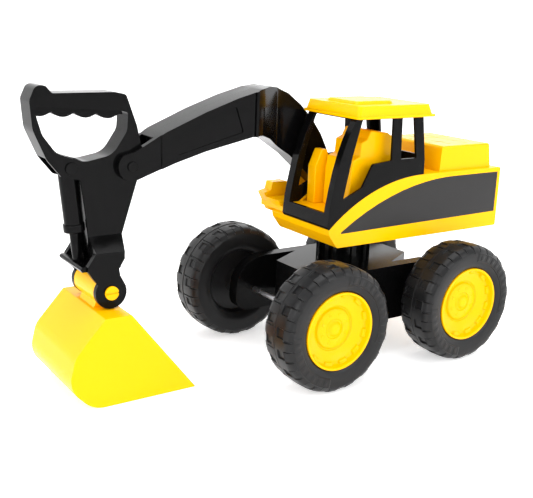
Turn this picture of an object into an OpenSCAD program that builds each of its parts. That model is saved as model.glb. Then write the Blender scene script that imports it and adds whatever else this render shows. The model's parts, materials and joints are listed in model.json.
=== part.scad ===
// Toy wheeled excavator: ride-height chassis, slewing body with cab, boom, stick with a
// D-handle and model cylinder, bucket. +X is forward, +Y is the operator's left, +Z is up.
// Every module is drawn with the slew axis at x = 0 and is then moved by machine(), so that
// the origin is the middle of the footprint on the floor.

/* [Wheels] */
// Diameter over the tread
tyre_d = 115; // [112:1:116]
// Width of a tyre
tyre_w = 40; // [38:1:41]
// Diameter of the yellow wheel insert where it meets the tyre
rim_d = 70; // [68:1:74]
// Distance between the axles
wheelbase = 157.3; // [156:0.1:160]
// Outer faces of the tyres, left to right
track = 202.4; // [202:0.2:208]
// Cross grooves in each half of the tread
tread_blocks = 18; // [14:1:22]
// Diameter of the steel axles
axle_d = 5; // [4:0.5:6]

/* [Chassis] */
// Height of the flat deck
deck_z = 91; // [90:0.5:92]
// Width over the side beams
chassis_w = 102; // [98:1:104]
// Length over the rounded noses
chassis_l = 200; // [196:1:204]
// Ground clearance under the beams
chassis_low = 37; // [34:1:40]

/* [Body] */
// Half width of the body
body_hw = 46; // [46:0.5:47]
// Underside of the body
body_z = 115.5; // [115.5:0.5:117]
// Rear face, behind the slew axis
body_rear = 166; // [162:1:168]
// Height of the rear deck
deck_top = 177; // [176.5:0.5:178]
// Height of the engine cover
cover_h = 25; // [22:1:30]
// Right wall of the cab, left of the boom
cab_right = -26; // [-26:0.5:-24]
// Underside of the roof
roof_z = 233.5; // [232:0.5:235]

/* [Boom, stick and bucket] */
// Centre plane of stick and bucket
arm_y = -22; // [-23:0.5:-21]
// Width of the stick
stick_w = 22; // [20:1:22]
// Thickness of each clevis ear on the boom
ear_t = 5.6; // [5:0.2:6]
// Width over the bucket fork
fork_w = 54; // [52:1:56]
// Width of the bucket
bucket_w = 95; // [90:1:100]
// Wall thickness of the plastic mouldings
wall = 3; // [2.6:0.1:3.2]

/* [Hidden] */

$fn = 48;
gap = 0.35;              // clearance between surfaces that move past each other
fit = 0.08;              // radial clearance of a running fit
plastic_black = "#1c1c1e";
plastic_yellow = "#f7b500";
rubber = "#2b2b2c";
steel = "#b8bcc0";
label_grey = "#45413f";

axle_x = wheelbase / 2;
axle_z = tyre_d / 2;
wheel_y = track / 2 - tyre_w / 2;
hub_in = tyre_w / 2 - 3;          // inner face of the hub, from the wheel's centre plane
front_tip = 308.15;               // foremost point of the handle
x_mid = (front_tip - body_rear) / 2;

// Pivots in the side view, [x, z]
boom_foot = [4, 160];
stick_at = [225, 195];
cyl_at = [276, 196];
bucket_at = [250, 92];
rod_at = [267.6, 114.2];           // lower end of the model cylinder, in the fork web
foot_y = [-54, -32];              // width of the boom's foot
cyl_dir = atan2(cyl_at[0] - rod_at[0], cyl_at[1] - rod_at[1]);
cyl_len = norm(cyl_at - rod_at);

// ---------- helpers ----------
module machine() {
  translate([-x_mid, 0, 0]) children();
}

// Extrudes a side-view outline, drawn as [x, z], between y0 and y1
module side(y0, y1) {
  translate([0, y1, 0]) rotate([90, 0, 0]) linear_extrude(y1 - y0) children();
}

// Round bar or bore across the machine at [x, z]
module cross(p, r, y0, y1) {
  translate([p[0], y1, p[1]]) rotate([90, 0, 0]) cylinder(r = r, h = y1 - y0);
}

// Points of an arc
function arc(c, r, a0, a1, n = 8) =
  [for (k = [0:n]) let (a = a0 + (a1 - a0) * k / n) c + r * [cos(a), sin(a)]];

function turn(a) = a > 180 ? a - 360 : a < -180 ? a + 360 : a;

// One rounded corner at p, between neighbours a and b; p[2] is its radius
function corner(p, a, b, n) =
  let (
    q = [p[0], p[1]],
    r = len(p) > 2 ? p[2] : 0,
    u = ([a[0], a[1]] - q) / norm([a[0], a[1]] - q),
    v = ([b[0], b[1]] - q) / norm([b[0], b[1]] - q),
    half = acos(max(-1, min(1, u * v))) / 2
  )
  r == 0 || half > 89.5 ? [q] :
  let (
    c = q + (u + v) / norm(u + v) * r / sin(half),
    s = q + u * r / tan(half) - c,
    e = q + v * r / tan(half) - c,
    a0 = atan2(s[1], s[0]),
    d = turn(atan2(e[1], e[0]) - a0)
  )
  [for (k = [0:n]) c + r * [cos(a0 + d * k / n), sin(a0 + d * k / n)]];

// Outline with rounded corners from points [x, z, radius]
function smooth(p, n = 5) =
  [for (i = [0:len(p) - 1])
    each corner(p[i], p[(i + len(p) - 1) % len(p)], p[(i + 1) % len(p)], n)];

// ---------- wheels ----------
module at_wheel(fore, left) {
  translate([fore * axle_x, left * wheel_y, axle_z])
    rotate([-90 * left, 0, 0]) children();
}

// Drawn about its own axle, outer side towards +Z: tread, walls, inner web and hub in one
module tyre() {
  r = tyre_d / 2;
  w = tyre_w / 2;
  ri = rim_d / 2;
  bore = axle_d / 2 + fit;
  inner_side = [[bore, -hub_in], [12, -hub_in], [13, -9.5], [30.5, -8.5], [33, -w + 4.5],
    [36.5, -w + 2.4], [39, -w + 0.8], [r - 5, -w], [r - 1.6, -w + 1.4], [r - 0.4, -w + 4], [r, -w + 8]];
  outer_side = [[r, w - 8], [r - 0.4, w - 4], [r - 1.6, w - 1.4], [r - 5, w], [ri + 4, w - 0.6],
    [ri + 1.4, w - 1.6], [ri, w - 3.4]];
  hollow = [[ri, w - 7], [ri + 5, w - 4.6], [r - 7, w - 4.4], [r - 4.8, w - 7], [r - 4.8, -w + 7],
    [r - 7, -w + 4.4], [ri + 4, -w + 5.4], [ri, 0], [ri - 2, -4.4], [12, -5.6], [12, 3], [bore, 3]];
  color(rubber)
    difference() {
      rotate_extrude($fn = 96) polygon(concat(inner_side, outer_side, hollow));
      for (i = [0:tread_blocks - 1], s = [-1, 1])
        rotate([0, 0, (i + 0.25 * s) * 360 / tread_blocks])
          translate([r - 2.4, -1.3, s > 0 ? 1.2 : -w - 1]) cube([5, 2.6, w]);
    }
}

// Shallow dished insert in the outer side
module rim() {
  ri = rim_d / 2;
  w = tyre_w / 2;
  color(plastic_yellow)
    union() {
      rotate_extrude($fn = 72) polygon([
        [9, 5], [ri - 8, 7], [ri - 5, 9.4], [ri - 3.4, 0.5], [ri, 0.5], [ri, w - 2],
        [ri - 0.6, w - 1.2], [ri - 2, w - 1.2], [ri - 2.6, w - 6], [ri - 5.4, w - 8.2],
        [21, w - 11.4], [20, w - 12.6], [18.6, w - 12.6], [18, w - 11.4], [9, w - 10.4]]);
      // ring of short tabs behind the lip
      for (i = [0:11])
        rotate([0, 0, i * 30]) translate([ri - 5.2, -3.4, w - 8.6]) cube([2.6, 6.8, 1.8]);
    }
}

module hub_cap() {
  w = tyre_w / 2;
  color(plastic_yellow)
    rotate_extrude() polygon(concat(
      [[7.2, w - 13.2], [8.9, w - 13.2], [8.9, w - 9.4]],
      [for (k = [0:6]) [8.2 * cos(k * 15), w - 9.4 + 3.4 * sin(k * 15)]],
      [[0, w - 8], [7.2, w - 10]]));
}

module tyre_front_left() { machine() at_wheel(1, 1) tyre(); }
module tyre_front_right() { machine() at_wheel(1, -1) tyre(); }
module tyre_rear_left() { machine() at_wheel(-1, 1) tyre(); }
module tyre_rear_right() { machine() at_wheel(-1, -1) tyre(); }
module rim_front_left() { machine() at_wheel(1, 1) rim(); }
module rim_front_right() { machine() at_wheel(1, -1) rim(); }
module rim_rear_left() { machine() at_wheel(-1, 1) rim(); }
module rim_rear_right() { machine() at_wheel(-1, -1) rim(); }
module hub_cap_front_left() { machine() at_wheel(1, 1) hub_cap(); }
module hub_cap_front_right() { machine() at_wheel(1, -1) hub_cap(); }
module hub_cap_rear_left() { machine() at_wheel(-1, 1) hub_cap(); }
module hub_cap_rear_right() { machine() at_wheel(-1, -1) hub_cap(); }

// ---------- chassis ----------
axle_end = wheel_y + tyre_w / 2 - 14;     // the axle stops inside the hub's pocket
nut_t = 1.6;

module axle(fore) {
  color(steel) cross([fore * axle_x, axle_z], axle_d / 2, -axle_end, axle_end);
}
module front_axle() { machine() axle(1); }
module rear_axle() { machine() axle(-1); }

module axle_push_nuts() {
  color(steel) machine()
    for (f = [-1, 1], s = [-1, 1])
      translate([f * axle_x, s * (axle_end - nut_t / 2 - 0.6), axle_z])
        rotate([90, 0, 0])
          difference() {
            cylinder(r = 6, h = nut_t, center = true);
            cylinder(r = axle_d / 2, h = nut_t + 1, center = true);
          }
}

beam_w = 13;
spigot_r = 8;

module chassis_frame() {
  hw = chassis_w / 2;
  hl = chassis_l / 2;
  core = hw - beam_w;
  beam = smooth([[-hl, chassis_low, 14], [hl, chassis_low, 14], [hl, deck_z, 32], [-hl, deck_z, 32]]);
  beam_hollow = smooth([[-hl + wall, chassis_low - 5], [hl - wall, chassis_low - 5],
    [hl - wall, deck_z - wall, 29], [-hl + wall, deck_z - wall, 29]]);
  plan = [[30, core + 0.5], [68, 17], [68, -17], [30, -core - 0.5],
    [-30, -core - 0.5], [-68, -17], [-68, 17], [-30, core + 0.5]];
  plan_hollow = [[29, core + 1], [64, 14], [64, -14], [29, -core - 1],
    [-29, -core - 1], [-64, -14], [-64, 14], [-29, core + 1]];
  color(plastic_black) machine()
    difference() {
      union() {
        for (s = [-1, 1]) {
          difference() {
            side(min(s * hw, s * core), max(s * hw, s * core)) polygon(beam);
            side(min(s * (hw - wall), s * (core + wall)), max(s * (hw - wall), s * (core + wall)))
              polygon(beam_hollow);
          }
          for (f = [-1, 1])
            cross([f * axle_x, axle_z], 9, min(s * core, s * (wheel_y - hub_in - gap)),
              max(s * core, s * (wheel_y - hub_in - gap)));
        }
        difference() {
          translate([0, 0, chassis_low + 14]) linear_extrude(deck_z - chassis_low - 14) polygon(plan);
          translate([0, 0, chassis_low]) linear_extrude(deck_z - wall - chassis_low)
            polygon(plan_hollow);
        }
        translate([0, 0, 84]) cylinder(r = 15, h = deck_z - 84);
      }
      for (f = [-1, 1]) cross([f * axle_x, axle_z], axle_d / 2, -hw - 20, hw + 20);
      translate([0, 0, 80]) cylinder(r = spigot_r + fit, h = 20);
    }
}

module turntable_pedestal() {
  top = body_z - gap;
  color(plastic_black) machine()
    difference() {
      union() {
        translate([0, 0, deck_z]) cylinder(r = 23.5, h = top - deck_z);
        translate([0, 0, top - 3]) cylinder(r = 27, h = 3);
        for (i = [0:11])
          rotate([0, 0, i * 30 + 15]) translate([21, -2.2, deck_z]) cube([5.4, 4.4, top - deck_z - 1]);
      }
      translate([0, 0, deck_z - 1]) cylinder(r = spigot_r + fit, h = 40);
      translate([0, 0, deck_z - 1])
        rotate_extrude() translate([spigot_r + 3, 0]) square([9, top - deck_z - 2]);
    }
}

// ---------- slewing body ----------
arch_x = -58;
arch_r = 168;
function arch_z(x) = deck_top - arch_r + sqrt(arch_r * arch_r - (x - arch_x) * (x - arch_x));
function arch(x0, x1, n = 14, drop = 0) =
  [for (k = [0:n]) let (x = x0 + (x1 - x0) * k / n) [x, arch_z(x) - drop]];

body_front = 45;
nose_x = 55.5;
tub_outline = smooth(concat(
  [[-body_rear, body_z, 2], [body_front, body_z, 3], [nose_x - 1, 128, 3]],
  arch(nose_x, arch_x), [[-body_rear, deck_top, 2]]));
tub_hollow = concat(
  [[-body_rear + wall, body_z - 1], [body_front - wall, body_z - 1], [nose_x - wall - 3, 130]],
  arch(nose_x - wall - 4, arch_x, 14, wall), [[-body_rear + wall, deck_top - wall]]);

label_top_r = 255;
function label_z(x) = deck_top - 4.5 - label_top_r
  + sqrt(label_top_r * label_top_r - pow(max(x + 100, 0), 2));
module label_outline(x0, x1) {
  polygon(concat([[x0, body_z + 15.5], [x1, body_z + 13]],
    [for (k = [0:14]) let (x = x1 + (x0 - x1) * k / 14) [x, label_z(x)]]));
}
label_t = 0.6;
slot_back = -40;                   // rear end of the boom's pocket

module lower_body() {
  color(plastic_yellow) machine()
    difference() {
      side(-body_hw, body_hw) polygon(tub_outline);
      side(-body_hw + wall, body_hw - wall) polygon(tub_hollow);
      translate([-50, cab_right + wall, 140]) cube([102, body_hw - cab_right - 2 * wall, 60]);
      translate([slot_back, -body_hw - 1, 136]) cube([110, body_hw + cab_right + 0.6, 60]);
      for (s = [-1, 1])
        side(s > 0 ? body_hw - label_t : -body_hw - 1, s > 0 ? body_hw + 1 : -body_hw + label_t)
          label_outline(-162, s > 0 ? 41 : slot_back - 6);
    }
}

module side_panel_left() {
  color(label_grey) machine() side(body_hw - label_t, body_hw) label_outline(-162, 41);
}
module side_panel_right() {
  color(label_grey) machine()
    side(-body_hw, -body_hw + label_t) label_outline(-162, slot_back - 6);
}

screw_at = [[-150, -34], [-150, 34], [30, -34], [30, 34]];

module base_plate() {
  color(plastic_yellow) machine()
    difference() {
      union() {
        translate([-body_rear + wall, -body_hw + wall, body_z])
          cube([body_rear + body_front - 2 * wall, 2 * (body_hw - wall), wall]);
        for (p = screw_at) translate([p[0], p[1], body_z]) cylinder(r = 4, h = 16);
      }
      for (p = screw_at) translate([p[0], p[1], body_z - 1]) cylinder(r = 1.6, h = 14);
    }
}

module slew_spigot() {
  color(plastic_yellow) machine()
    difference() {
      translate([0, 0, 83.4]) cylinder(r = spigot_r, h = body_z - 83.4);
      translate([0, 0, 80]) cylinder(r = 1.8, h = 24);
    }
}

module pivot_washer() {
  color(steel) machine()
    translate([0, 0, 81.8])
      difference() {
        cylinder(r = 13, h = 1.6);
        translate([0, 0, -1]) cylinder(r = 2, h = 4);
      }
}

module pivot_screw() {
  color(steel) machine()
    difference() {
      union() {
        translate([0, 0, 79.2]) cylinder(r = 4.5, h = 2.6);
        translate([0, 0, 79.2]) cylinder(r = 1.8, h = 22);
      }
      for (a = [0, 90]) rotate([0, 0, a]) translate([-3, -0.5, 79]) cube([6, 1, 1.4]);
    }
}

module base_screws() {
  color(steel) machine()
    for (p = screw_at)
      translate([p[0], p[1], body_z - 1.8])
        difference() {
          union() {
            cylinder(r = 3, h = 1.8);
            cylinder(r = 1.6, h = 12);
          }
          for (a = [0, 90]) rotate([0, 0, a]) translate([-2, -0.4, -1]) cube([4, 0.8, 2]);
        }
}

module engine_cover() {
  z0 = deck_top;
  z1 = deck_top + cover_h;
  color(plastic_yellow) machine()
    difference() {
      side(-41, 41) polygon(smooth([[-155, z0], [-83, z0], [-84.5, z1, 3], [-150.5, z1, 3]]));
      side(-38.5, 38.5) polygon([[-152, z0 - 1], [-86, z0 - 1], [-87, z1 - 2.6], [-148, z1 - 2.6]]);
      for (x = [-128, -106]) translate([x, -31, z1 - 0.7]) cube([1.2, 62, 2]);
      for (y = [-12, 14]) translate([-148, y, z1 - 0.7]) cube([61, 1.2, 2]);
    }
}

// Cab: a thin shell standing on the arch, open at the top under the roof
cab_front = [[57, 136], [55.4, 153], [52.4, 169.5], [48.8, 186], [45, 199], [40.3, 212.3],
  [35.3, 222.8], [30, roof_z]];
function inset_x(p, d) = [for (q = p) [q[0] - d, q[1]]];
cab_t = 2.6;
module cab_outline() {
  polygon(concat(cab_front, [[-51, roof_z], [-57, 192]], arch(-57.6, 55, 14, -0.1)));
}

module cab_frame() {
  color(plastic_black) machine()
    difference() {
      side(cab_right, body_hw) cab_outline();
      side(cab_right + cab_t, body_hw - cab_t)
        polygon(concat([[54, 120]], inset_x(cab_front, cab_t + 0.6), [[25, roof_z + 5], [-48, roof_z + 5],
          [-54, 192], [-54.5, 120]]));
      // front and rear side windows, through both walls
      side(cab_right - 1, body_hw + 1) polygon(smooth([[23, roof_z - 1.5, 1.5], [32.5, 199, 40],
        [40.8, 160, 1], [19, 169.8, 3], [7.4, 191, 3], [-15, 193, 1], [-14, roof_z - 1.5, 1]]));
      side(cab_right - 1, body_hw + 1) polygon(smooth([[-24.9, roof_z - 1.5, 1], [-26.4, 193.6, 1],
        [-46, 193.6, 1], [-40, roof_z - 1.5, 1]]));
      // windscreen and rear window
      translate([24, cab_right + 9.5, 148]) cube([60, body_hw - cab_right - 17.5, roof_z - 1.5 - 148]);
      translate([-70, cab_right + 10, 196]) cube([26, body_hw - cab_right - 20, roof_z - 1.5 - 196]);
    }
}

module roof_slab(x0, x1, y0, y1, z, h) {
  translate([x0, y0, z]) cube([x1 - x0, y1 - y0, h]);
}

module cab_roof() {
  color(plastic_yellow) machine()
    difference() {
      union() {
        roof_slab(-60.5, 34.5, -31, 54, roof_z, 2.2);
        hull() {
          roof_slab(-58.5, 32.5, -30, 51.5, roof_z + 1.8, 0.4);
          roof_slab(-56, 30, -28.5, 49, roof_z + 10.4, 0.8);
        }
        hull() {
          roof_slab(-24, 22, -12, 34, roof_z + 11, 0.4);
          roof_slab(-22.5, 20.5, -10.5, 32.5, roof_z + 13.4, 0.4);
        }
      }
      hull() {
        roof_slab(-50, 26, -23, 43, roof_z - 0.5, 0.1);
        roof_slab(-48, 24, -21, 41, roof_z + 8.6, 0.1);
      }
    }
}

floor_z = 146;
module cab_floor() {
  color(plastic_yellow) machine()
    translate([-50, cab_right + wall, 140]) cube([101.5, body_hw - cab_right - 2 * wall, floor_z - 140]);
}

module seat() {
  color(plastic_yellow) machine()
    difference() {
      side(-6, 33) polygon(smooth([[-36, floor_z], [24, floor_z], [23, 180, 2], [21, 193, 2], [13, 196, 2],
        [12, 209, 2], [5, 212, 2], [1, 220, 2], [-20, 217, 2], [-26, 213, 2], [-30, 190, 3]]));
      side(-3.4, 30.4) polygon([[-33, floor_z - 1], [21, floor_z - 1], [20, 178], [18.4, 190.5],
        [10.4, 193.4], [9.4, 206.4], [3, 209], [-1, 217.4], [-18, 214.4], [-23.4, 211], [-27.2, 190]]);
    }
}

module control_console() {
  color(plastic_yellow) machine()
    side(-20, -8) polygon(smooth([[2, floor_z], [33, floor_z], [33, 182, 2], [26, 198, 1.5],
      [20, 198, 1.5], [14, 184, 3]]));
}

module boom_bracket() {
  hub = arc(boom_foot, 13, 140, 40, 8);
  color(plastic_yellow) machine()
    difference() {
      union() {
        // floor of the pocket
        translate([slot_back + 0.4, -66, 136]) cube([95, 66 + cab_right - 0.4, 5]);
        // outer cheek with its stepped front block
        side(-66, foot_y[0] - gap) polygon(concat([[slot_back + 1, 131], [50, 131], [60, 150], [52, 152],
          [50, 160], [34, 160], [30, 152]], [for (k = [0:8]) hub[8 - k]], [[slot_back + 1, 146]]));
        // inner cheek, next to the cab
        side(foot_y[1] + gap, cab_right - 0.4) polygon(concat([[slot_back + 1, 136], [50, 136],
          [44, 148], [24, 150]], [for (k = [0:8]) hub[8 - k]], [[slot_back + 1, 146]]));
        side(foot_y[0] - gap, foot_y[1] + gap) polygon([[30, 137], [54, 137], [58, 146], [34, 146]]);
      }
      translate([slot_back, -body_hw - 0.2, 130]) cube([120, 2 * body_hw, 6]);
      cross(boom_foot, 3.5, -70, 0);
    }
}

module boom_pin() {
  color(steel) machine()
    union() {
      cross(boom_foot, 3.5, -66, cab_right - 0.4);
      cross(boom_foot, 5.5, -68, -66);
    }
}

// ---------- boom ----------
half_stick = stick_w / 2;
boom_hw = half_stick + ear_t + gap / 2;
knee_y = [arm_y - boom_hw - 3, arm_y + boom_hw + 2];
ear_r = 12.5;
module boom_outline() {
  polygon(concat(
    arc(boom_foot, 12, 250, 160, 6),
    [[-6, 178], [2, 194], [10, 209], [21, 223.5], [36, 238.5], [51, 249.5], [66, 255.5], [82, 257.5],
      [98, 256], [124, 249], [156, 238], [194, 222.5]],
    [[222, 207.3]], arc(stick_at, ear_r, 50, -105, 8),
    [[186, 195.5], [156, 204], [109, 214], [96, 214.5], [80, 209.5], [64, 200.5], [47, 190]]));
}
// Plan of the whole boom: wide at the front, its foot set over to the right of the cab
boom_l = arm_y + boom_hw;
boom_r = arm_y - boom_hw;
boom_left_edge = [[260, boom_l], [199, boom_l], [198.2, boom_l + 1.4], [100, knee_y[1], 30],
  [62, foot_y[1], 20], [-20, foot_y[1]]];
boom_right_edge = [[-20, foot_y[0]], [52, foot_y[0], 24], [100, knee_y[0] - 1, 30],
  [198.2, boom_r - 1.4], [199, boom_r], [260, boom_r]];
boom_mid = [[262, arm_y], [100, arm_y], [60, -43], [-22, -43]];
function shrink(p, d) = [for (q = p) len(q) > 2 ? [q[0], q[1] + d, q[2]] : [q[0], q[1] + d]];

module boom_body() {
  intersection() {
    side(-70, 10) boom_outline();
    translate([0, 0, 100]) linear_extrude(200) {
      polygon(smooth(concat(boom_left_edge, boom_right_edge), 8));
      translate([103, knee_y[1] - 3]) square([2.6, 4]);
    }
  }
}
module boom_space() {
  intersection() {
    side(-70, 10) polygon(concat([[14, 172], [27, 222], [42, 237], [56, 247], [82, 254.5], [98, 253],
      [124, 246], [156, 235], [190, 221]],
      [[190, 198.5], [156, 207], [109, 217], [94, 217.5], [78, 212], [60, 202], [44, 192]]));
    translate([0, 0, 100]) linear_extrude(200)
      polygon(smooth(concat(shrink(boom_left_edge, -wall), shrink(boom_right_edge, wall)), 8));
  }
}

boom_screw_at = [[42, 212], [25, 194]];
module boom_raw() {
  difference() {
    boom_body();
    boom_space();
    // slot between the clevis ears
    side(arm_y - half_stick - gap, arm_y + half_stick + gap)
      polygon([[300, 120], [300, 260], [204, 260], [203, 216], [200, 200], [203, 120]]);
    cross(boom_foot, 3.5 + fit, -80, 10);
    cross(stick_at, 3, -80, 20);
    for (p = boom_screw_at) cross(p, 1.7, -80, foot_y[0] + 9);
    // shallow label recess on both sides
    for (s = [-1, 1])
      side(s > 0 ? arm_y + boom_hw + 0.7 : arm_y - boom_hw - 8, s > 0 ? 10 : arm_y - boom_hw - 1.4)
        polygon(smooth([[118, 219, 2], [184, 202, 2], [187, 219, 2], [126, 242, 2]]));
  }
}
module boom_half(left) {
  intersection() {
    boom_raw();
    translate([0, 0, 100]) linear_extrude(200)
      polygon(concat(boom_mid, left ? [[-22, 20], [262, 20]] : [[-22, -80], [262, -80]]));
  }
}
module boom_shell_left() { color(plastic_black) machine() boom_half(true); }
module boom_shell_right() { color(plastic_black) machine() boom_half(false); }

module boom_screws() {
  color(steel) machine()
    for (p = boom_screw_at) {
      cross(p, 1.7, foot_y[0], foot_y[0] + 9);
      cross(p, 3, foot_y[0] - 0.3, foot_y[0]);
    }
}

module stick_pin() {
  out = boom_hw + 1.6;
  color(plastic_black) machine() {
    cross(stick_at, 3, arm_y - out, arm_y + out);
    for (s = [-1, 1])
      cross(stick_at, 4.4, arm_y + (s > 0 ? boom_hw : -out), arm_y + (s > 0 ? out : -boom_hw));
  }
}

// ---------- stick with its D-handle ----------
handle_outer = [[215, 190, 6], [214.5, 212, 4], [218, 228, 10], [227.5, 254, 4], [238, 256, 6],
  [290, 256, 3], [295, 262, 4], [303, 262.4, 6], [308.3, 251, 8], [306.5, 228, 20], [296, 204, 16],
  [284, 189, 5]];
stick_lower = [[268.4, 186, 3], [264.5, 156, 12], [262.4, 132], [262, 121], [239, 121], [236, 127],
  [218.6, 181, 4]];
handle_hole = [[303, 246, 2], [303.5, 240, 6], [299, 224, 14], [288, 209, 14], [265, 200.5, 18],
  [240, 205, 18], [227, 224, 12], [226, 240, 3]];

module stick_outline() {
  difference() {
    polygon(smooth(concat(handle_outer, stick_lower), 10));
    polygon(smooth(handle_hole, 10));
  }
}
module fork_outline() {
  polygon(concat([[270, 116.4], [266, 122], [262.6, 127], [239.4, 126.4], [237.2, 120.4], [242.6, 112],
    [241.6, 106]], arc(bucket_at, 14, 160, 395, 16), [[264.6, 104], [270, 112]]));
}
fork_out = fork_w / 2;
plate_t = 5;
module fork_plate(s) {
  y0 = arm_y + s * fork_out;
  y1 = arm_y + s * (fork_out - plate_t);
  side(min(y0, y1), max(y0, y1)) fork_outline();
}

stick_screw_at = [[223, 244], [299, 254], [243, 187]];
module stick_half(s) {
  y_mid = arm_y;
  y_out = arm_y + s * half_stick;
  y_in = arm_y + s * (half_stick - wall);
  y_fork = arm_y + s * fork_out;
  y_web = arm_y + s * (fork_out - plate_t / 2);
  difference() {
    union() {
      difference() {
        union() {
          difference() {
            side(min(y_mid, y_out), max(y_mid, y_out)) stick_outline();
            // hollow inside of the stick, and the seat of the grip insert
            side(min(y_mid, y_in) - (s > 0 ? 1 : 0), max(y_mid, y_in) + (s > 0 ? 0 : 1))
              polygon([[257, 184], [256, 132], [242, 132], [229, 178], [234, 192], [250, 194]]);
            side(min(y_mid - s, arm_y + s * 5.05), max(y_mid - s, arm_y + s * 5.05))
              polygon([[227.4, 233.6], [303.4, 233.6], [303.2, 243.2], [299.1, 249.8], [230.9, 248.8],
                [227.8, 238]]);
          }
          // shoulder that widens the stick to the fork
          hull() {
            side(min(y_mid, y_out), max(y_mid, y_out))
              polygon([[232.8, 137.9], [262.6, 137.9], [262.6, 138], [232.8, 138]]);
            side(min(y_mid, y_fork), max(y_mid, y_fork))
              polygon([[263, 121], [262.6, 127], [237.2, 126.4], [237.4, 121]]);
          }
          cross(stick_at, 10.4, min(y_mid, y_out), max(y_mid, y_out));
        }
        // room for the model cylinder in front of the stick
        side(arm_y - 9.4, arm_y + 9.4)
          polygon([[266.4, 205], [306, 205], [300, 116.4], [258.2, 116.4]]);
      }
      fork_plate(s);
      // web between the fork plates, which holds the lower end of the rod
      side(min(y_mid, y_web), max(y_mid, y_web))
        polygon([[240, 112], [274, 112], [275.4, 114.2], [274, 116.4], [240, 116.4]]);
    }
    cross(stick_at, 3 + fit, -80, 30);
    cross(cyl_at, 2.6, -80, 30);
    cross(bucket_at, 4 + fit, -80, 30);
    on_cylinder() cylinder(r = rod_r + 0.02, h = 120);
    if (s < 0)
      for (p = stick_screw_at) {
        cross(p, 1.4, y_out - 1, y_mid - 1);
        cross(p, 2.4, y_out - 1, y_out + 1);
      }
  }
}
module stick_shell_left() { color(plastic_black) machine() stick_half(1); }
module stick_shell_right() { color(plastic_black) machine() stick_half(-1); }

grip_pitch = 19;
module grip_insert() {
  finger = [for (i = [0:3], k = [0:6])
    let (x = 231.5 + (i + k / 6) * grip_pitch) [min(x, 303), 237.4 - 3.4 * sin(k * 30) + i * 1.2]];
  color(plastic_black) machine()
    side(arm_y - 5, arm_y + 5)
      polygon(concat(finger, [[303, 243], [299, 249.6], [231, 248.6], [228, 237]]));
}

module stick_screws() {
  color(steel) machine()
    for (p = stick_screw_at) {
      cross(p, 1.4, arm_y - half_stick + 1, arm_y - 1);
      cross(p, 2.4, arm_y - half_stick - 0.6, arm_y - half_stick + 1);
    }
}

module cylinder_pin() {
  color(plastic_black) machine() {
    cross(cyl_at, 2.6, arm_y - half_stick - 1.6, arm_y + half_stick + 1.6);
    for (s = [-1, 1])
      cross(cyl_at, 5, arm_y + (s > 0 ? half_stick : -half_stick - 1.6),
        arm_y + (s > 0 ? half_stick + 1.6 : -half_stick));
  }
}

// ---------- model cylinder, fixed to the stick at both ends ----------
tube_r = 7.8;
rod_r = 4.6;
// Local frame of the cylinder: origin at its top pivot, +Z along the axis towards the bucket
module on_cylinder() {
  translate([cyl_at[0], arm_y, cyl_at[1]]) rotate([0, 180 + cyl_dir, 0]) children();
}

module cylinder_tube() {
  color(plastic_black) machine()
    on_cylinder()
      difference() {
        union() {
          translate([0, 0, 5]) cylinder(r = tube_r, h = 43);
          rotate([90, 0, 0]) cylinder(r = 6.4, h = 15, center = true);
        }
        rotate([90, 0, 0]) cylinder(r = 2.6 + fit, h = 30, center = true);
        translate([0, 0, 9]) cylinder(r = rod_r + 0.4, h = 60);
      }
}

module cylinder_gland() {
  color(plastic_black) machine()
    on_cylinder()
      difference() {
        translate([0, 0, 48]) cylinder(r = 9, h = 7);
        translate([0, 0, 40]) cylinder(r = rod_r + fit, h = 30);
      }
}

module cylinder_rod() {
  color(plastic_black) machine()
    on_cylinder() translate([0, 0, 22]) cylinder(r = rod_r, h = cyl_len - 22 + 1.5);
}

// ---------- bucket ----------
bucket_outline = [[180, 0], [276, 0, 26], [297, 22, 22], [290.5, 48, 20], [264, 77.4, 2], [241, 77.4, 2]];
bucket_inside = [[176, 0.4], [184, 2.6], [275, 2.6, 24], [294, 23, 20], [287.6, 47, 18], [262.6, 74.4, 1],
  [243.5, 74.4, 1], [150, 74.4]];
barrel_r = 13.6;
module bucket_shell() {
  hw = bucket_w / 2;
  drum = fork_out - plate_t - gap;
  color(plastic_yellow) machine()
    difference() {
      union() {
        difference() {
          side(arm_y - hw, arm_y + hw) polygon(smooth(bucket_outline, 14));
          side(arm_y - hw + wall, arm_y + hw - wall) polygon(smooth(bucket_inside, 14));
        }
        cross(bucket_at, barrel_r, arm_y - drum, arm_y + drum);
        side(arm_y - drum + 6, arm_y + drum - 6) polygon([[241, 76], [262, 76], [258, 84], [243, 84]]);
      }
      cross(bucket_at, 4, -90, 60);
    }
}

module bucket_pin() {
  out = fork_out + 1.4;
  color(plastic_yellow) machine()
    difference() {
      union() {
        cross(bucket_at, 4, arm_y - out, arm_y + out);
        cross(bucket_at, 6, arm_y + fork_out + gap, arm_y + out + 1);
        cross(bucket_at, 6, arm_y - out - 1, arm_y - fork_out - gap);
      }
      translate([bucket_at[0] - 7, arm_y + out - 0.4, bucket_at[1] - 0.8]) cube([14, 3, 1.6]);
    }
}

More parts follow.
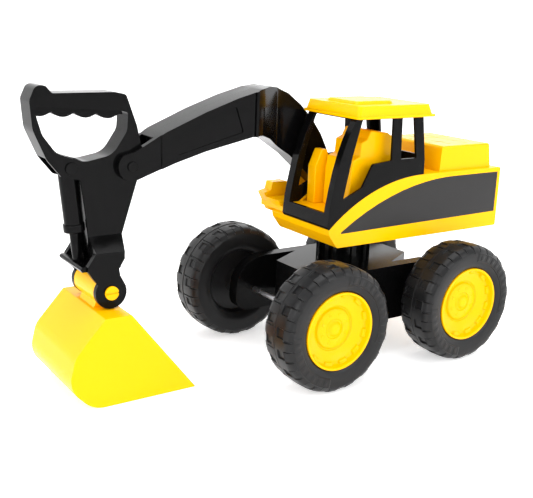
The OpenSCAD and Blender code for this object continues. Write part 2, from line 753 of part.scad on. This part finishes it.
// ---------- output ----------
chassis_frame();
turntable_pedestal();
front_axle();
rear_axle();
axle_push_nuts();
tyre_front_left();
tyre_front_right();
tyre_rear_left();
tyre_rear_right();
rim_front_left();
rim_front_right();
rim_rear_left();
rim_rear_right();
hub_cap_front_left();
hub_cap_front_right();
hub_cap_rear_left();
hub_cap_rear_right();
lower_body();
base_plate();
slew_spigot();
pivot_washer();
pivot_screw();
base_screws();
side_panel_left();
side_panel_right();
engine_cover();
cab_frame();
cab_roof();
cab_floor();
seat();
control_console();
boom_bracket();
boom_pin();
boom_shell_left();
boom_shell_right();
boom_screws();
stick_pin();
stick_shell_left();
stick_shell_right();
grip_insert();
stick_screws();
cylinder_pin();
cylinder_tube();
cylinder_gland();
cylinder_rod();
bucket_shell();
bucket_pin();
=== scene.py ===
import json
import math

import bmesh
import bpy
from mathutils import Matrix, Vector

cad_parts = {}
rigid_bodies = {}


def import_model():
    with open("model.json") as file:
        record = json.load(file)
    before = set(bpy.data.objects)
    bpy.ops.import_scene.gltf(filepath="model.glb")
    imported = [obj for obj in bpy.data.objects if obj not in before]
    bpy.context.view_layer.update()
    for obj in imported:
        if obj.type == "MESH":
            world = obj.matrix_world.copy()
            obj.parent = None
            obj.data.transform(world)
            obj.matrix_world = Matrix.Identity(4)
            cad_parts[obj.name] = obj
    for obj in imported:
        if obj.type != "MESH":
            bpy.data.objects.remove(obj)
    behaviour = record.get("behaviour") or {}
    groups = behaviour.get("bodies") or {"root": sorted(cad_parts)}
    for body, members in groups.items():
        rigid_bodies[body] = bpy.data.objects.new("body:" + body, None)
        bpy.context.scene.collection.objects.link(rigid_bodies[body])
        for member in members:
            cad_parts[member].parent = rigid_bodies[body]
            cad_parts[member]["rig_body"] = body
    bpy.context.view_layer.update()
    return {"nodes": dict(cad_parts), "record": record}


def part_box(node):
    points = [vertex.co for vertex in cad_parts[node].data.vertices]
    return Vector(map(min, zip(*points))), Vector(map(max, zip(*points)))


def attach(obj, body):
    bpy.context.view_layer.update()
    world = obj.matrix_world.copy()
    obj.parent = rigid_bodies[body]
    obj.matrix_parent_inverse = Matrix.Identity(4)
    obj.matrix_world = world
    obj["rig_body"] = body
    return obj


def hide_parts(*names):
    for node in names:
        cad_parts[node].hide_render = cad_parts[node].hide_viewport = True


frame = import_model()
nodes = frame["nodes"]
MM = 0.001
WHEELS = ("front_left", "front_right", "rear_left", "rear_right")


# ---------------------------------------------------------------- materials
BLOTCH_SCALE = 34.0      # how close together the patches of uneven gloss lie
GRAIN_DEPTH = 0.0002     # metres


def material(name, color, rough, grain, metallic=0.0, grain_scale=900.0, sheen_var=0.05,
             scatter=0.0, gloss=0.5):
    """Principled surface with a fine moulded grain and slightly uneven gloss."""
    m = bpy.data.materials.new(name)
    m.use_nodes = True
    nt = m.node_tree
    p = nt.nodes["Principled BSDF"]
    p.inputs["Base Color"].default_value = (*color, 1.0)
    p.inputs["Metallic"].default_value = metallic
    p.inputs["Specular IOR Level"].default_value = gloss
    if scatter:
        p.inputs["Subsurface Weight"].default_value = scatter
        p.inputs["Subsurface Radius"].default_value = (0.004, 0.002, 0.0004)
        p.inputs["Subsurface Scale"].default_value = 1.0
    tex = nt.nodes.new("ShaderNodeTexCoord")
    cloud = nt.nodes.new("ShaderNodeTexNoise")
    cloud.inputs["Scale"].default_value = BLOTCH_SCALE
    cloud.inputs["Detail"].default_value = 3.0
    span = nt.nodes.new("ShaderNodeMapRange")
    span.inputs["To Min"].default_value = rough - sheen_var
    span.inputs["To Max"].default_value = rough + sheen_var
    nt.links.new(tex.outputs["Object"], cloud.inputs["Vector"])
    nt.links.new(cloud.outputs["Fac"], span.inputs["Value"])
    nt.links.new(span.outputs["Result"], p.inputs["Roughness"])
    fine = nt.nodes.new("ShaderNodeTexNoise")
    fine.inputs["Scale"].default_value = grain_scale
    fine.inputs["Detail"].default_value = 2.0
    bump = nt.nodes.new("ShaderNodeBump")
    bump.inputs["Strength"].default_value = grain
    bump.inputs["Distance"].default_value = GRAIN_DEPTH
    nt.links.new(tex.outputs["Object"], fine.inputs["Vector"])
    nt.links.new(fine.outputs["Fac"], bump.inputs["Height"])
    nt.links.new(bump.outputs["Normal"], p.inputs["Normal"])
    return m


MATS = {
    "yellow_plastic": material("yellow_gloss_plastic", (0.97, 0.485, 0.0), 0.22, gloss=0.11,
                               grain=0.05, scatter=0.06),
    "black_plastic": material("black_gloss_plastic", (0.0020, 0.0020, 0.0021), 0.17, gloss=0.09,
                              grain=0.04),
    "tyre": material("tyre_satin_plastic", (0.0085, 0.0085, 0.009), 0.34, grain=0.22,
                     grain_scale=1400.0, sheen_var=0.06, gloss=0.22),
    "steel": material("drawn_steel", (0.58, 0.58, 0.60), 0.28, metallic=1.0, grain=0.1),
    "label": material("dark_label_foil", (0.019, 0.018, 0.018), 0.34, grain=0.03, gloss=0.22),
}
SLOT_OF = {s["node"]: s["material_slot"] for s in frame["record"]["subparts"]}


def body_of(node):
    return nodes[node]["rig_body"]


def finish_piece(obj, body, slot, smooth=32.0):
    """Links a new piece, gives it its material, shades it and makes it ride."""
    if obj.name not in bpy.context.scene.collection.objects:
        bpy.context.scene.collection.objects.link(obj)
    obj.data.materials.clear()
    obj.data.materials.append(MATS[slot])
    for f in obj.data.polygons:
        f.use_smooth = True
    obj.data.set_sharp_from_angle(angle=math.radians(smooth))
    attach(obj, body)


SAME_POINT = 2e-6        # metres
FLAT_WITHIN = 0.5        # degrees


def clean_copy(node):
    """The CAD mesh without doubled vertices or the triangle edges inside flat faces."""
    bm = bmesh.new()
    bm.from_mesh(nodes[node].data)
    bmesh.ops.remove_doubles(bm, verts=bm.verts, dist=SAME_POINT)
    bmesh.ops.dissolve_limit(bm, angle_limit=math.radians(FLAT_WITHIN), verts=bm.verts,
                             edges=bm.edges)
    for layer in list(bm.loops.layers.float_vector):
        bm.loops.layers.float_vector.remove(layer)
    mesh = bpy.data.meshes.new(node + "_moulded")
    bm.to_mesh(mesh)
    bm.free()
    for a in [a for a in mesh.attributes if "normal" in a.name]:
        mesh.attributes.remove(a)
    return mesh


OUTLINE_TURN = 35.0      # degrees; an edge of the outline turns by at least this
OUTLINE_FACING = 0.7     # one of its faces looks this far outward
OUTLINE_DEPTH = 2.3      # its faces are this many roundings deep
SMALLEST_OUTLINE = 14.0  # mm; smaller closed rings are screw and pin holes and stay crisp


def round_rim(mesh, side, width):
    """Rounds the long edges round the outer side of a half shell; side is +1 left, -1 right."""
    bm = bmesh.new()
    bm.from_mesh(mesh)
    bm.normal_update()
    found = set()
    for e in bm.edges:
        if len(e.link_faces) != 2 or not e.is_convex or e.calc_length() < 1e-6:
            continue
        if e.calc_face_angle() < math.radians(OUTLINE_TURN):
            continue
        if max(side * f.normal.y for f in e.link_faces) < OUTLINE_FACING:
            continue
        depth = min(f.calc_area() / e.calc_length() for f in e.link_faces)
        if depth < OUTLINE_DEPTH * width * MM:
            continue
        found.add(e)
    # groups of edges joined end to end
    chosen = []
    left = set(found)
    while left:
        todo = [left.pop()]
        group = []
        while todo:
            e = todo.pop()
            group.append(e)
            for v in e.verts:
                for o in v.link_edges:
                    if o in left:
                        left.remove(o)
                        todo.append(o)
        xs = [v.co.x for e in group for v in e.verts]
        zs = [v.co.z for e in group for v in e.verts]
        if max(max(xs) - min(xs), max(zs) - min(zs)) > SMALLEST_OUTLINE * MM:
            chosen += group
    bmesh.ops.bevel(bm, geom=chosen, offset=width * MM, segments=4, profile=0.5,
                    affect="EDGES", clamp_overlap=True)
    bm.to_mesh(mesh)
    bm.free()


SHORTEST_CORNER = 1.9    # mm
UPRIGHT = 0.6            # the rise of a corner edge over its length
CORNER_TURN = 60.0       # degrees


def round_corners(mesh, width):
    """Rounds the upright corner edges of a box-like moulding."""
    bm = bmesh.new()
    bm.from_mesh(mesh)
    bm.normal_update()
    chosen = []
    for e in bm.edges:
        if len(e.link_faces) != 2 or not e.is_convex:
            continue
        run = e.verts[1].co - e.verts[0].co
        if run.length < SHORTEST_CORNER * MM or abs(run.z) < UPRIGHT * run.length:
            continue
        if e.calc_face_angle() > math.radians(CORNER_TURN):
            chosen.append(e)
    bmesh.ops.bevel(bm, geom=chosen, offset=width * MM, segments=5, profile=0.5,
                    affect="EDGES", clamp_overlap=True)
    bm.to_mesh(mesh)
    bm.free()


# radius in mm of the upright corners
CORNER_ROUNDING = {"cab_roof": 4.0, "engine_cover": 3.4}
# outer side (+1 left, -1 right) and radius in mm of the half shells' outlines
RIM_ROUNDING = {
    "boom_shell_left": (1, 2.6), "boom_shell_right": (-1, 2.6),
    "stick_shell_left": (1, 2.2), "stick_shell_right": (-1, 2.2),
}


BEVEL_FROM = 24.0        # degrees; edges that turn by less stay as they are


def rounded(node, width, segments):
    """Stands for a CAD node: the same solid with its edges rounded as a moulding's are."""
    mesh = clean_copy(node)
    if node in RIM_ROUNDING:
        round_rim(mesh, *RIM_ROUNDING[node])
    if node in CORNER_ROUNDING:
        round_corners(mesh, CORNER_ROUNDING[node])
    obj = bpy.data.objects.new(node + "_moulded", mesh)
    finish_piece(obj, body_of(node), SLOT_OF[node])
    b = obj.modifiers.new("edge_radius", "BEVEL")
    b.width = width * MM
    b.segments = segments
    b.limit_method = "ANGLE"
    b.angle_limit = math.radians(BEVEL_FROM)
    b.use_clamp_overlap = True
    b.miter_outer = "MITER_ARC"
    b.harden_normals = False
    w = obj.modifiers.new("even_shading", "WEIGHTED_NORMAL")
    w.keep_sharp = True
    w.weight = 50
    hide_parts(node)


# ---------------------------------------------------------------- wheels
def wheel_frame(name):
    """(axle centre, outward sign) of a wheel, from its tyre's box."""
    lo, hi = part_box("tyre_" + name)
    centre = (Vector(lo) + Vector(hi)) / 2
    side = 1.0 if centre.y > 0 else -1.0
    return centre, side


def ring_surface(name, columns, rows, centre, side):
    """Closed surface round an axle. rows(a) gives (radius, outward) points, in mm, at angle a."""
    verts, faces = [], []
    profiles = [rows(a) for a in columns]
    n, m = len(profiles), len(profiles[0])
    for a, profile in zip(columns, profiles):
        for r, w in profile:
            verts.append((centre.x + r * MM * math.cos(a), centre.y + side * w * MM,
                          centre.z + r * MM * math.sin(a)))
    for i in range(n):
        for j in range(m):
            a, b = i * m + j, i * m + (j + 1) % m
            c, d = ((i + 1) % n) * m + (j + 1) % m, ((i + 1) % n) * m + j
            faces.append((a, b, c, d) if side < 0 else (a, d, c, b))
    mesh = bpy.data.meshes.new(name)
    mesh.from_pydata(verts, [], faces)
    mesh.update()
    bm = bmesh.new()
    bm.from_mesh(mesh)
    bmesh.ops.recalc_face_normals(bm, faces=bm.faces)
    bm.to_mesh(mesh)
    bm.free()
    return bpy.data.objects.new(name, mesh)


def ramp(x, lo, hi, wall):
    """0 outside lo..hi, 1 inside, with sloping walls that lie inside the span."""
    return max(0.0, min(1.0, (x - lo) / wall, (hi - x) / wall))


PITCHES = 18                                # tread blocks round the tyre
ARC_PANELS = ((96.0, 202.0), (282.0, 364.0))  # degrees round the wall, from and to
BAR_PITCH = 9.5                             # degrees between the bars of an arc panel
WIDEST = 20.9                               # mm from the wheel's middle, panels and bars included


def tyre_rows(mirror):
    """Gives the function for the tyre's profile, tread relief included, at one angle."""
    # crown from the inner shoulder to the outer one, (outward, radius)
    crown = [(-19.3, 52.2), (-18.2, 54.4), (-16.4, 55.9), (-14.4, 56.6), (-13.0, 56.9),
             (-12.6, 56.95), (-9.0, 57.2), (-5.0, 57.4), (-4.6, 57.4), (-2.0, 57.45),
             (-0.8, 57.5), (-0.45, 57.5), (0.35, 57.5), (0.7, 57.5), (2.2, 57.45), (3.4, 57.4),
             (3.8, 57.4), (6.0, 57.35), (9.0, 57.2), (12.0, 57.0), (12.4, 56.95), (13.4, 56.8),
             (14.6, 56.5), (16.4, 55.8), (18.0, 54.6), (19.2, 52.8)]
    wall = [(19.75, 51.6), (19.8, 51.2), (19.95, 50.8), (20.0, 50.2), (20.0, 48.6),
            (20.0, 48.3), (20.0, 46.4), (19.95, 46.1), (19.8, 44.2), (19.75, 43.9),
            (19.6, 42.8), (19.55, 42.4), (19.2, 40.8), (18.8, 38.8), (18.1, 37.2),
            (17.2, 36.0), (15.6, 35.6), (12.0, 35.4)]
    # pocket behind the insert, the web and hub, and the inner side of the tyre
    back = [(0.2, 35.4), (-4.6, 33.2), (-5.6, 12.0), (3.0, 12.0), (3.0, 2.6), (-17.0, 2.6),
            (-17.0, 11.0), (-15.8, 12.2), (-9.4, 13.0), (-8.2, 31.0), (-15.0, 33.4),
            (-17.4, 36.0), (-19.0, 38.6), (-19.5, 41.0), (-19.7, 44.0), (-20.0, 48.5),
            (-19.9, 50.8)]

    def rows(a):
        turn = (a / (2 * math.pi) * PITCHES) % 1.0
        deg = math.degrees(a) % 360.0
        if mirror:
            deg = (180.0 - deg) % 360.0
            turn = (1.0 - turn) % 1.0
        other = (turn + 0.5) % 1.0
        out = []
        for w, r in crown:
            d = 0.0
            # outer half: one pocket in each pitch, and slits running over the shoulder
            d += 1.5 * ramp(turn, 0.06, 0.50, 0.03) * ramp(w, 3.4, 12.4, 0.45)
            d += 1.1 * ramp(turn, 0.48, 0.54, 0.02) * ramp(w, 11.9, 19.5, 0.5)
            d += 1.1 * ramp(turn, 0.94, 1.0, 0.02) * ramp(w, 12.9, 19.5, 0.5)
            d += 0.75 * ramp(turn, 0.0, 0.50, 0.04) * ramp(w, 12.9, 19.8, 0.6)
            # inner half, half a pitch on
            d += 1.4 * ramp(other, 0.06, 0.46, 0.03) * ramp(w, -13.1, -4.5, 0.45)
            d += 1.1 * ramp(other, 0.44, 0.50, 0.02) * ramp(w, -19.5, -12.6, 0.5)
            d += 1.0 * ramp(other, 0.92, 0.98, 0.02) * ramp(w, -19.5, -0.8, 0.5)
            d += 0.75 * ramp(other, 0.0, 0.46, 0.04) * ramp(w, -19.8, -13.0, 0.6)
            # step along the middle
            d += 0.7 * ramp(w, -0.85, 0.72, 0.35)
            if w < -0.5:
                d += 0.25
            out.append((r - d, w))
        for w, r in wall:
            up = 0.0
            for start, end in ARC_PANELS:
                x = deg if deg >= start - 3 else deg + 360.0
                if start <= x <= end:
                    up = 0.55 * ramp(x, start, end, 1.0) * ramp(r, 42.4, 51.3, 0.35)
                    bar = ((x - start - 4.0) % BAR_PITCH) / BAR_PITCH
                    inside = ramp(x, start + 3.0, end - 3.0, 0.5)
                    up += 0.5 * ramp(bar, 0.10, 0.62, 0.08) * inside * ramp(r, 44.0, 50.0, 0.4)
            notch = 0.35 * ramp(turn, 0.48, 0.54, 0.02) * ramp(r, 50.0, 56.0, 0.6)
            out.append((r - notch, min(w + up, WIDEST) - notch))
        out += [(r, w) for w, r in back]
        return out

    return rows


def tyre_columns():
    """Angles of the tyre's columns, close together where the relief's walls stand."""
    marks = [0.0, 0.02, 0.04, 0.06, 0.09, 0.14, 0.2, 0.27, 0.34, 0.41, 0.44, 0.46, 0.48, 0.5,
             0.52, 0.54, 0.56, 0.59, 0.65, 0.72, 0.79, 0.86, 0.91, 0.94, 0.96, 0.98]
    return [2 * math.pi * (i + u) / PITCHES for i in range(PITCHES) for u in marks]


def rim_rows(a):
    """Dished wheel with a raised lip, a ring of short tabs, a groove and a flat disc."""
    deg = math.degrees(a) % 30.0
    tab = ramp(deg, 6.0, 22.0, 1.2)
    front = [(35.3, 12.0), (35.5, 17.6), (35.4, 18.5), (34.7, 18.9), (33.9, 18.8),
             (33.4, 18.3), (33.1, 17.2), (32.7, 14.4)]
    step = [(32.4 - 0.2 * tab, 13.2 + 1.0 * tab), (31.9 - 0.5 * tab, 12.4 + 1.7 * tab),
            (31.2 - 0.6 * tab, 12.1 + 1.9 * tab), (30.4 - 0.5 * tab, 11.9 + 1.7 * tab),
            (29.9 - 0.4 * tab, 11.8 + 0.1 * tab), (29.3, 11.6)]
    dish = [(28.0, 11.0), (26.0, 10.1), (23.5, 9.2), (21.6, 8.6), (20.9, 8.3), (20.4, 7.5),
            (19.9, 7.1), (19.2, 7.0), (18.7, 7.4), (18.4, 8.0), (17.9, 8.6), (17.2, 8.9),
            (14.0, 9.15), (10.5, 9.5), (9.4, 9.6), (8.6, 8.6), (7.6, 8.0), (6.0, 8.0),
            (3.4, 8.0)]
    back = [(3.4, 5.6), (9.0, 5.2), (27.0, 6.8), (30.0, 9.2), (31.6, 0.5), (34.9, 0.5),
            (35.3, 1.5)]
    return front + step + dish + back


def cap_rows(a):
    """Domed cap, the same at every angle."""
    return [(0.25, 13.1), (1.6, 13.0), (3.4, 12.6), (5.0, 11.8), (6.1, 10.8), (6.8, 9.9),
            (7.6, 9.5), (8.6, 9.4), (8.9, 9.1), (8.9, 7.6), (0.25, 7.6)]


def even_columns(count):
    return [2 * math.pi * k / count for k in range(count)]


STUDS = 8
STUD_CIRCLE = 13.2       # mm from the axle
STUD_OUT = 9.15          # mm from the wheel's middle
STUD_R = 1.7
STUD_FLATNESS = 0.32     # height over radius


def add_studs(mesh, centre, side):
    """Ring of low round studs on the rim's flat disc."""
    bm = bmesh.new()
    bm.from_mesh(mesh)
    turn = Matrix.Rotation(math.radians(-90.0 * side), 4, "X")
    for k in range(STUDS):
        a = math.radians(360.0 / STUDS * (k + 0.5))
        at = centre + Vector((STUD_CIRCLE * MM * math.cos(a), side * STUD_OUT * MM,
                              STUD_CIRCLE * MM * math.sin(a)))
        bmesh.ops.create_uvsphere(bm, u_segments=20, v_segments=10, radius=STUD_R * MM,
                                  matrix=Matrix.Translation(at) @ turn
                                  @ Matrix.Diagonal((1, 1, STUD_FLATNESS, 1)))
    bm.to_mesh(mesh)
    bm.free()


def make_wheels():
    for name in WHEELS:
        centre, side = wheel_frame(name)
        body = body_of("tyre_" + name)
        tyre = ring_surface("tread_" + name, tyre_columns(), tyre_rows(side < 0), centre, side)
        finish_piece(tyre, body, "tyre", 26.0)
        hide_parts("tyre_" + name)
        rim = ring_surface("dish_" + name, even_columns(240), rim_rows, centre, side)
        add_studs(rim.data, centre, side)
        finish_piece(rim, body, "yellow_plastic", 34.0)
        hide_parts("rim_" + name)
        cap = ring_surface("dome_" + name, even_columns(48), cap_rows, centre, side)
        finish_piece(cap, body, "yellow_plastic", 40.0)
        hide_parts("hub_cap_" + name)


# ---------------------------------------------------------------- mouldings
# width in mm and segments of the bevel on each node's edges
ROUNDING = {
    "chassis_frame": (1.2, 3), "turntable_pedestal": (0.8, 3), "front_axle": (0.3, 2),
    "rear_axle": (0.3, 2), "axle_push_nuts": (0.3, 2), "lower_body": (1.1, 4),
    "base_plate": (0.6, 2), "slew_spigot": (0.5, 3), "pivot_washer": (0.2, 2),
    "pivot_screw": (0.2, 2), "base_screws": (0.2, 2), "engine_cover": (1.3, 4),
    "cab_frame": (0.9, 3),
    "cab_roof": (1.0, 4), "cab_floor": (0.5, 2), "seat": (1.2, 4),
    "control_console": (0.9, 3), "boom_bracket": (1.0, 3), "boom_pin": (0.5, 3),
    "boom_shell_left": (0.5, 3), "boom_shell_right": (0.5, 3), "boom_screws": (0.1, 2),
    "stick_pin": (0.6, 3), "stick_shell_left": (0.5, 3), "stick_shell_right": (0.5, 3),
    "grip_insert": (1.2, 4), "stick_screws": (0.2, 2), "cylinder_pin": (0.4, 3),
    "cylinder_tube": (0.5, 3), "cylinder_gland": (0.8, 3), "cylinder_rod": (0.3, 2),
    "bucket_shell": (0.7, 3), "bucket_pin": (0.5, 3),
}


def make_mouldings():
    """Rounded stand-ins for the CAD nodes; the flat side panels keep their CAD shape."""
    for node, (width, segments) in ROUNDING.items():
        rounded(node, width, segments)
    for node in ("side_panel_left", "side_panel_right"):
        nodes[node].data.materials.clear()
        nodes[node].data.materials.append(MATS["label"])


# ---------------------------------------------------------------- stage
FLOOR_R = 5.0            # metres, as are the next two
SWEEP_R = 2.5
WALL_TOP = 7.0
SWEEP_STEPS = 15
SPOKES = 72


def make_sweep():
    """Round floor that sweeps up into a wall all round."""
    bm = bmesh.new()
    line = [(0.6, 0.0), (2.0, 0.0), (FLOOR_R, 0.0)]
    steps = [math.radians(90.0 / SWEEP_STEPS * k) for k in range(1, SWEEP_STEPS + 1)]
    line += [(FLOOR_R + SWEEP_R * math.sin(t), SWEEP_R - SWEEP_R * math.cos(t)) for t in steps]
    line += [(FLOOR_R + SWEEP_R, WALL_TOP)]
    spokes = even_columns(SPOKES)
    rings = [[bm.verts.new((r * math.cos(a), r * math.sin(a), z)) for a in spokes]
             for r, z in line]
    bm.faces.new(rings[0])
    for low, high in zip(rings, rings[1:]):
        for k in range(SPOKES):
            n = (k + 1) % SPOKES
            bm.faces.new((low[n], low[k], high[k], high[n]))
    mesh = bpy.data.meshes.new("studio_sweep")
    bm.to_mesh(mesh)
    bm.free()
    for f in mesh.polygons:
        f.use_smooth = True
    floor = bpy.data.objects.new("studio_sweep", mesh)
    bpy.context.scene.collection.objects.link(floor)
    m = bpy.data.materials.new("white_sweep")
    m.use_nodes = True
    p = m.node_tree.nodes["Principled BSDF"]
    p.inputs["Base Color"].default_value = (0.92, 0.92, 0.92, 1)
    p.inputs["Roughness"].default_value = 0.7
    p.inputs["Specular IOR Level"].default_value = 0.1
    p.inputs["Emission Color"].default_value = (1.0, 1.0, 1.0, 1)
    p.inputs["Emission Strength"].default_value = 0.5
    floor.data.materials.append(m)


def make_sky():
    """Soft light from the sky, darker towards the horizon."""
    world = bpy.data.worlds.new("studio")
    bpy.context.scene.world = world
    world.use_nodes = True
    nt = world.node_tree
    bg = nt.nodes["Background"]
    bg.inputs["Strength"].default_value = 0.7
    tex = nt.nodes.new("ShaderNodeTexCoord")
    parts = nt.nodes.new("ShaderNodeSeparateXYZ")
    sky = nt.nodes.new("ShaderNodeValToRGB")
    sky.color_ramp.elements[0].position = 0.05
    sky.color_ramp.elements[0].color = (0.30, 0.30, 0.31, 1)
    sky.color_ramp.elements[1].position = 0.75
    sky.color_ramp.elements[1].color = (1.0, 1.0, 1.0, 1)
    nt.links.new(tex.outputs["Generated"], parts.inputs["Vector"])
    nt.links.new(parts.outputs["Z"], sky.inputs["Fac"])
    nt.links.new(sky.outputs["Color"], bg.inputs["Color"])


def softbox(name, at, towards, size, power):
    data = bpy.data.lights.new(name, "AREA")
    data.shape = "RECTANGLE"
    data.size, data.size_y = size
    data.energy = power
    obj = bpy.data.objects.new(name, data)
    bpy.context.scene.collection.objects.link(obj)
    obj.location = at
    obj.rotation_mode = "QUATERNION"
    obj.rotation_quaternion = (Vector(towards) - Vector(at)).to_track_quat("-Z", "Y")


def make_lights():
    """Three softboxes: above, in front and on the left."""
    softbox("top_softbox", (-0.05, 0.1, 1.5), (0, 0, 0.1), (1.4, 1.2), 14.0)
    softbox("key_softbox", (1.3, 0.55, 0.9), (0, 0, 0.12), (0.7, 0.7), 5.5)
    softbox("side_softbox", (-0.6, 1.5, 0.7), (-0.05, 0, 0.12), (1.0, 0.7), 6.0)


CAMERA_AT = (0.4544, 0.6388, 0.3194)
CAMERA_TURN = (145.822, 15.222, 2.012)   # degrees: azimuth, elevation, roll
LENS = 57.85


def make_camera():
    """The photo's camera, as it was solved from the wheels and the body's edges."""
    data = bpy.data.cameras.new("photo_camera")
    data.sensor_width = 36.0
    data.lens = LENS
    data.clip_start, data.clip_end = 0.01, 50.0
    cam = bpy.data.objects.new("photo_camera", data)
    bpy.context.scene.collection.objects.link(cam)
    bpy.context.scene.camera = cam
    a, e, roll = (math.radians(v) for v in CAMERA_TURN)
    back = Vector((math.sin(a) * math.cos(e), -math.cos(a) * math.cos(e), math.sin(e)))
    right = Vector((0, 0, 1)).cross(back).normalized()
    up = back.cross(right)
    r2 = right * math.cos(roll) + up * math.sin(roll)
    u2 = -right * math.sin(roll) + up * math.cos(roll)
    x, y, z = CAMERA_AT
    cam.matrix_world = Matrix((
        (r2.x, u2.x, back.x, x), (r2.y, u2.y, back.y, y),
        (r2.z, u2.z, back.z, z), (0, 0, 0, 1)))


make_camera()
make_sweep()
make_sky()
make_lights()
make_wheels()
make_mouldings()
bpy.context.scene.view_settings.view_transform = "Standard"
